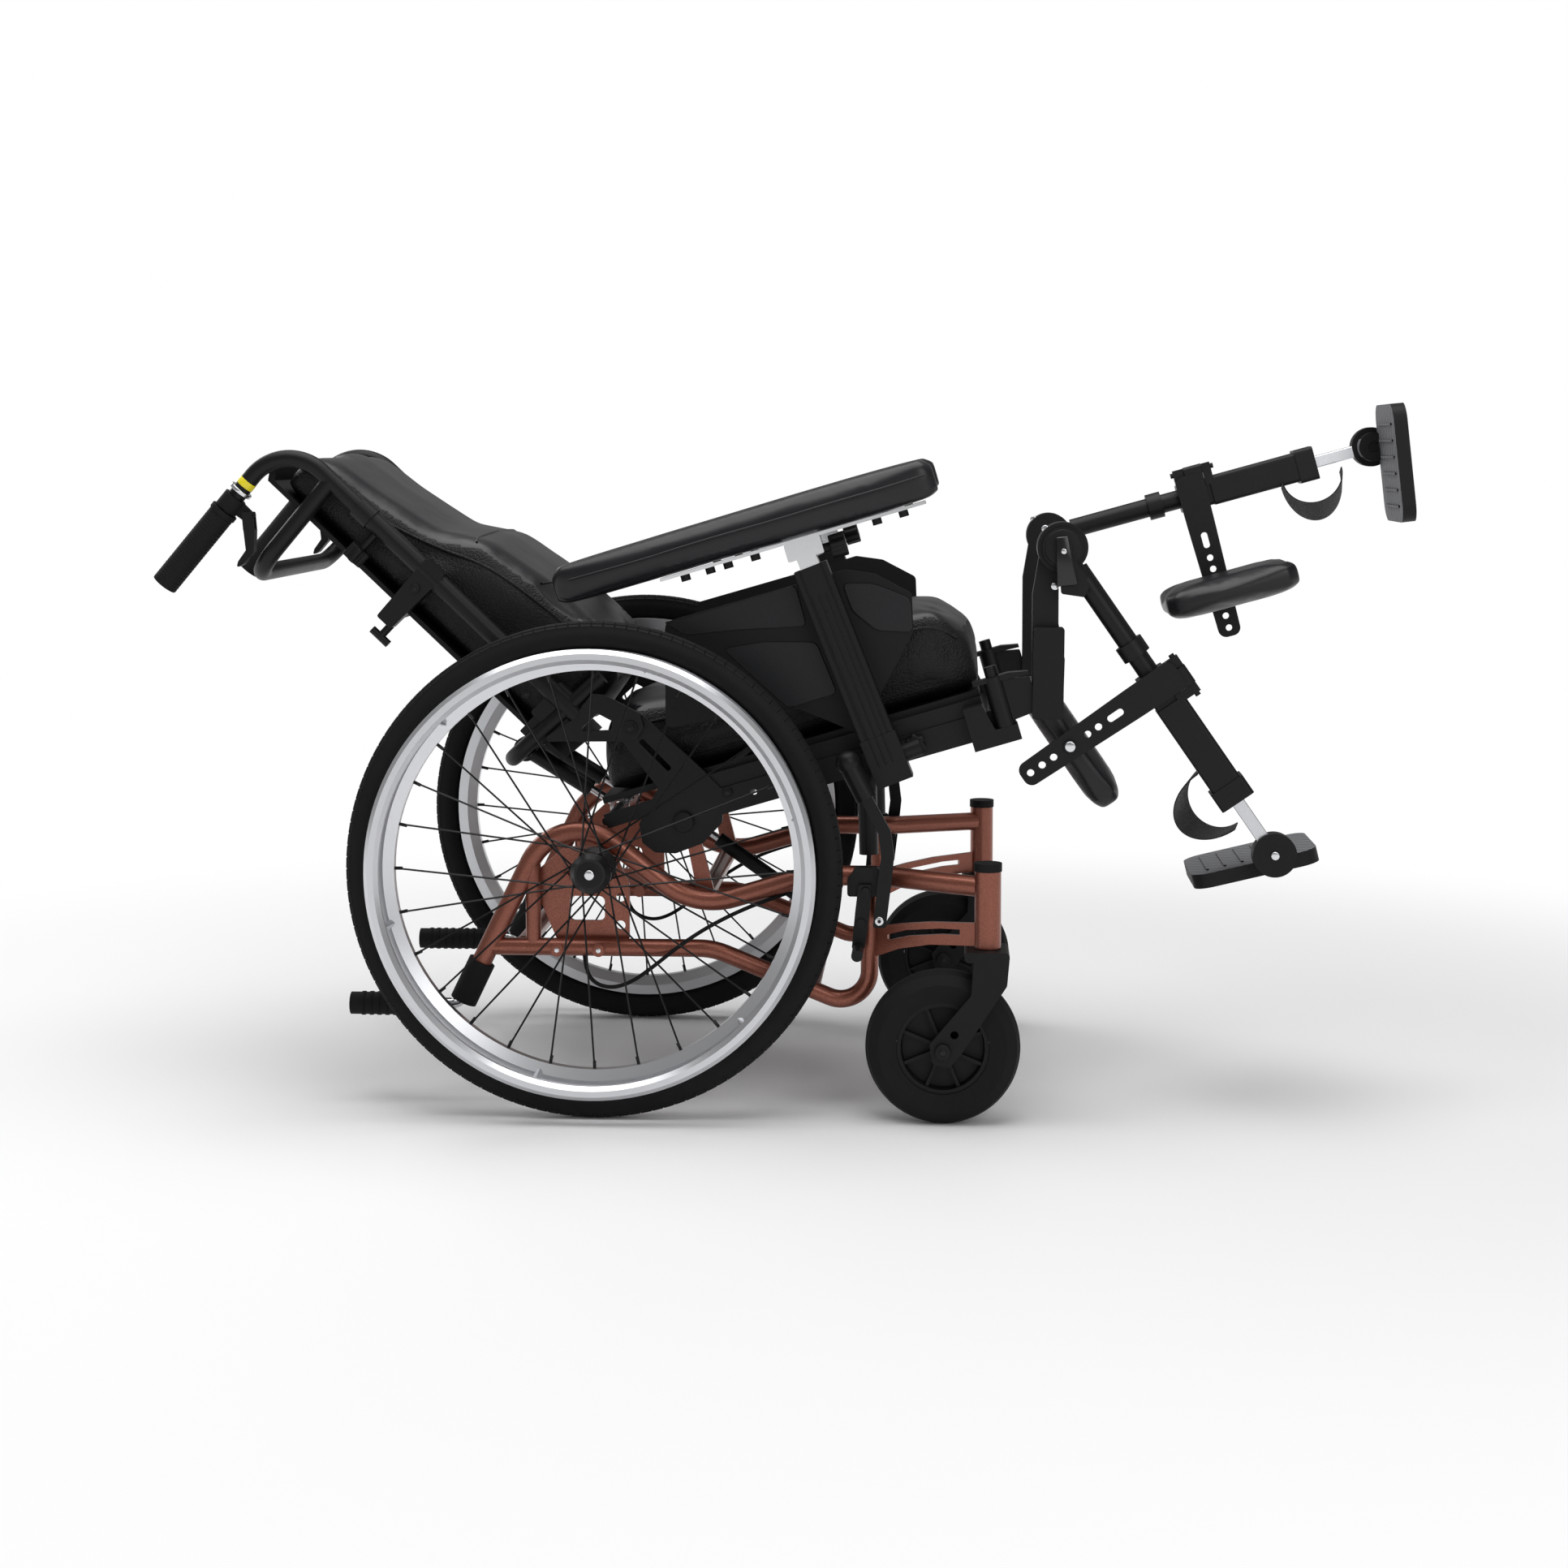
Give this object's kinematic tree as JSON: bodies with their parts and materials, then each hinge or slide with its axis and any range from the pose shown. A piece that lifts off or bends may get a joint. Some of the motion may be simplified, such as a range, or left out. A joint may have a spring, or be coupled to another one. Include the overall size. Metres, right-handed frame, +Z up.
{
  "type": "tilt in space wheelchair",
  "caption": "Manual tilt-in-space wheelchair with reclining back, elevating legrests, handrims, casters and push bow.",
  "frame": {"origin": "on the floor at the middle of the bounding box", "axes": "+X forward, +Y to the sitter's left, +Z up"},
  "size_m": [1.6148, 0.6976, 0.879],
  "materials": {
    "frame_paint": "metallic lacquer",
    "black_paint": "satin powder coat",
    "bright_steel": "polished",
    "aluminium": "satin anodised",
    "tyre": "matt",
    "rubber": "matt",
    "black_plastic": "fine grain",
    "cover": "pebbled vinyl",
    "webbing": "woven"
  },
  "bodies": {
    "frame": {"side_frame_right": "frame_paint", "side_frame_left": "frame_paint", "cross_tubes": "frame_paint", "axle_plates": "frame_paint", "tipping_levers": "bright_steel", "rubber_parts": "rubber", "brake_mounts": "black_paint", "brake_cables": "rubber"},
    "seat": {"seat_frame": "black_paint", "seat_cushion": "cover", "side_panels": "black_plastic", "arm_posts": "black_paint"},
    "back": {"back_frame": "black_paint", "back_shell": "black_plastic", "back_cushion": "cover"},
    "push_handle": {"push_frame": "black_paint", "push_grips": "rubber"},
    "tilt_strut": {"tilt_cylinder": "black_paint"},
    "tilt_plunger": {"tilt_rod": "bright_steel"},
    "recline_strut": {"recline_cylinders": "black_paint"},
    "recline_plunger": {"recline_rods": "bright_steel"},
    "rear_wheel_right": {"rear_tyre_right": "tyre", "rear_rim_right": "aluminium", "rear_spokes_right": "black_paint", "handrim_right": "aluminium"},
    "caster_swivel_right": {"caster_fork_right": "black_plastic"},
    "caster_wheel_right": {"caster_tyre_right": "rubber", "caster_rim_right": "black_plastic"},
    "brake_lever_right": {"brake_lever_right": "black_paint"},
    "brake_arm_right": {"brake_arm_right": "black_paint"},
    "hand_lever_right": {"hand_lever_right": "black_plastic"},
    "armrest_right": {"arm_slider_right": "bright_steel", "arm_pad_right": "cover"},
    "hanger_right": {"hanger_right": "black_paint"},
    "leg_right": {"leg_tube_right": "black_paint", "heel_strap_right": "webbing"},
    "foot_bar_right": {"foot_bar_right": "black_plastic"},
    "footplate_right": {"footplate_right": "black_plastic"},
    "calf_rest_right": {"calf_bracket_right": "black_paint", "calf_pad_right": "cover"},
    "rear_wheel_left": {"rear_tyre_left": "tyre", "rear_rim_left": "aluminium", "rear_spokes_left": "black_paint", "handrim_left": "aluminium"},
    "caster_swivel_left": {"caster_fork_left": "black_plastic"},
    "caster_wheel_left": {"caster_tyre_left": "rubber", "caster_rim_left": "black_plastic"},
    "brake_lever_left": {"brake_lever_left": "black_paint"},
    "brake_arm_left": {"brake_arm_left": "black_paint"},
    "hand_lever_left": {"hand_lever_left": "black_plastic"},
    "armrest_left": {"arm_slider_left": "bright_steel", "arm_pad_left": "cover"},
    "hanger_left": {"hanger_left": "black_paint"},
    "leg_left": {"leg_tube_left": "black_paint", "heel_strap_left": "webbing"},
    "foot_bar_left": {"foot_bar_left": "black_plastic"},
    "footplate_left": {"footplate_left": "black_plastic"},
    "calf_rest_left": {"calf_bracket_left": "black_paint", "calf_pad_left": "cover"}
  },
  "joints": [
    {"name": "seat_tilt", "type": "hinge", "parent": "frame", "child": "seat", "pos_m": [-0.1393, 0, 0.353], "axis": [0, 1, 0], "range_deg": [-5, 16]},
    {"name": "tilt_strut_swing", "type": "hinge", "parent": "frame", "child": "tilt_strut", "pos_m": [0.0087, 0, 0.215], "axis": [0, 1, 0], "range_deg": [-0.5, 0.5]},
    {"name": "tilt_plunger_slide", "type": "slide", "parent": "tilt_strut", "child": "tilt_plunger", "axis": [-0.8154, 0, 0.5789], "range_m": [-0.0034, 0.0084]},
    {"name": "back_recline", "type": "hinge", "parent": "seat", "child": "back", "pos_m": [-0.2053, 0, 0.471], "axis": [0, 1, 0], "range_deg": [0, 30]},
    {"name": "recline_strut_swing", "type": "hinge", "parent": "back", "child": "recline_strut", "pos_m": [-0.3593, 0, 0.427], "axis": [0, 1, 0], "range_deg": [-9.4, 0.2]},
    {"name": "recline_plunger_slide", "type": "slide", "parent": "recline_strut", "child": "recline_plunger", "axis": [0.8519, 0, -0.5237], "range_m": [0, 0.0592]},
    {"name": "push_handle_height", "type": "slide", "parent": "back", "child": "push_handle", "axis": [-0.7254, 0, 0.6884], "range_m": [0, 0.1]},
    {"name": "rear_wheel_roll_right", "type": "hinge", "parent": "frame", "child": "rear_wheel_right", "pos_m": [-0.2413, -0.295, 0.305], "axis": [0, 1, 0], "continuous": true},
    {"name": "caster_turn_right", "type": "hinge", "parent": "frame", "child": "caster_swivel_right", "pos_m": [0.2387, -0.295, 0.215], "axis": [0, 0, 1], "continuous": true},
    {"name": "caster_roll_right", "type": "hinge", "parent": "caster_swivel_right", "child": "caster_wheel_right", "pos_m": [0.1847, -0.295, 0.094], "axis": [0, 1, 0], "continuous": true},
    {"name": "brake_lever_turn_right", "type": "hinge", "parent": "frame", "child": "brake_lever_right", "pos_m": [0.1067, -0.262, 0.241], "axis": [0, 1, 0], "range_deg": [0, 28]},
    {"name": "brake_arm_turn_right", "type": "hinge", "parent": "frame", "child": "brake_arm_right", "pos_m": [0.0897, -0.255, 0.276], "axis": [0, 1, 0], "range_deg": [0, 11]},
    {"name": "hand_lever_squeeze_right", "type": "hinge", "parent": "push_handle", "child": "hand_lever_right", "pos_m": [-0.68652, -0.205, 0.73315], "axis": [0, 1, 0], "range_deg": [0, 15], "stiffness_Nm_per_rad": 1, "springref_deg": -11.46},
    {"name": "armrest_height_right", "type": "slide", "parent": "seat", "child": "armrest_right", "axis": [-0.3697, 0, 0.9291], "range_m": [0, 0.07]},
    {"name": "legrest_swing_right", "type": "hinge", "parent": "seat", "child": "hanger_right", "pos_m": [0.2617, -0.225, 0.478], "axis": [0.284, 0, -0.9588], "range_deg": [0, 90]},
    {"name": "leg_lift_right", "type": "hinge", "parent": "hanger_right", "child": "leg_right", "pos_m": [0.3287, -0.225, 0.698], "axis": [0, -1, 0], "range_deg": [-4, 70]},
    {"name": "foot_bar_length_right", "type": "slide", "parent": "leg_right", "child": "foot_bar_right", "axis": [0.5693, 0, -0.8221], "range_m": [-0.025, 0.04]},
    {"name": "footplate_angle_right", "type": "hinge", "parent": "foot_bar_right", "child": "footplate_right", "pos_m": [0.58943, -0.225, 0.32146], "axis": [0, 1, 0], "range_deg": [-12, 12]},
    {"name": "calf_rest_swing_right", "type": "hinge", "parent": "leg_right", "child": "calf_rest_right", "pos_m": [0.47734, -0.241, 0.54306], "axis": [-0.5693, 0, 0.8221], "range_deg": [0, 3]},
    {"name": "rear_wheel_roll_left", "type": "hinge", "parent": "frame", "child": "rear_wheel_left", "pos_m": [-0.2413, 0.295, 0.305], "axis": [0, 1, 0], "continuous": true},
    {"name": "caster_turn_left", "type": "hinge", "parent": "frame", "child": "caster_swivel_left", "pos_m": [0.2387, 0.295, 0.215], "axis": [0, 0, 1], "continuous": true},
    {"name": "caster_roll_left", "type": "hinge", "parent": "caster_swivel_left", "child": "caster_wheel_left", "pos_m": [0.1847, 0.295, 0.094], "axis": [0, 1, 0], "continuous": true},
    {"name": "brake_lever_turn_left", "type": "hinge", "parent": "frame", "child": "brake_lever_left", "pos_m": [0.1067, 0.262, 0.241], "axis": [0, 1, 0], "range_deg": [0, 28]},
    {"name": "brake_arm_turn_left", "type": "hinge", "parent": "frame", "child": "brake_arm_left", "pos_m": [0.0897, 0.255, 0.276], "axis": [0, 1, 0], "range_deg": [0, 11]},
    {"name": "hand_lever_squeeze_left", "type": "hinge", "parent": "push_handle", "child": "hand_lever_left", "pos_m": [-0.68652, 0.205, 0.73315], "axis": [0, 1, 0], "range_deg": [0, 15], "stiffness_Nm_per_rad": 1, "springref_deg": -11.46},
    {"name": "armrest_height_left", "type": "slide", "parent": "seat", "child": "armrest_left", "axis": [-0.3697, 0, 0.9291], "range_m": [0, 0.07]},
    {"name": "legrest_swing_left", "type": "hinge", "parent": "seat", "child": "hanger_left", "pos_m": [0.2617, 0.225, 0.478], "axis": [-0.284, 0, 0.9588], "range_deg": [0, 90]},
    {"name": "leg_lift_left", "type": "hinge", "parent": "hanger_left", "child": "leg_left", "pos_m": [0.3287, 0.225, 0.698], "axis": [0, -1, 0], "range_deg": [-73, 0]},
    {"name": "foot_bar_length_left", "type": "slide", "parent": "leg_left", "child": "foot_bar_left", "axis": [0.9636, 0, 0.2672], "range_m": [-0.025, 0.04]},
    {"name": "footplate_angle_left", "type": "hinge", "parent": "foot_bar_left", "child": "footplate_left", "pos_m": [0.77004, 0.225, 0.8204], "axis": [0, 1, 0], "range_deg": [-12, 12]},
    {"name": "calf_rest_swing_left", "type": "hinge", "parent": "leg_left", "child": "calf_rest_left", "pos_m": [0.5239, 0.209, 0.78742], "axis": [-0.9636, 0, -0.2672], "range_deg": [0, 90]}
  ],
  "couplings": [
    {"joint": "tilt_strut_swing", "follows": "seat_tilt", "ratio": 0.00362},
    {"joint": "tilt_plunger_slide", "follows": "seat_tilt", "m_per_rad": 0.02684},
    {"joint": "recline_strut_swing", "follows": "back_recline", "ratio": -0.30542},
    {"joint": "recline_plunger_slide", "follows": "back_recline", "m_per_rad": 0.1116},
    {"joint": "brake_arm_turn_right", "follows": "brake_lever_turn_right", "ratio": 0.38},
    {"joint": "brake_arm_turn_left", "follows": "brake_lever_turn_left", "ratio": 0.38}
  ]
}
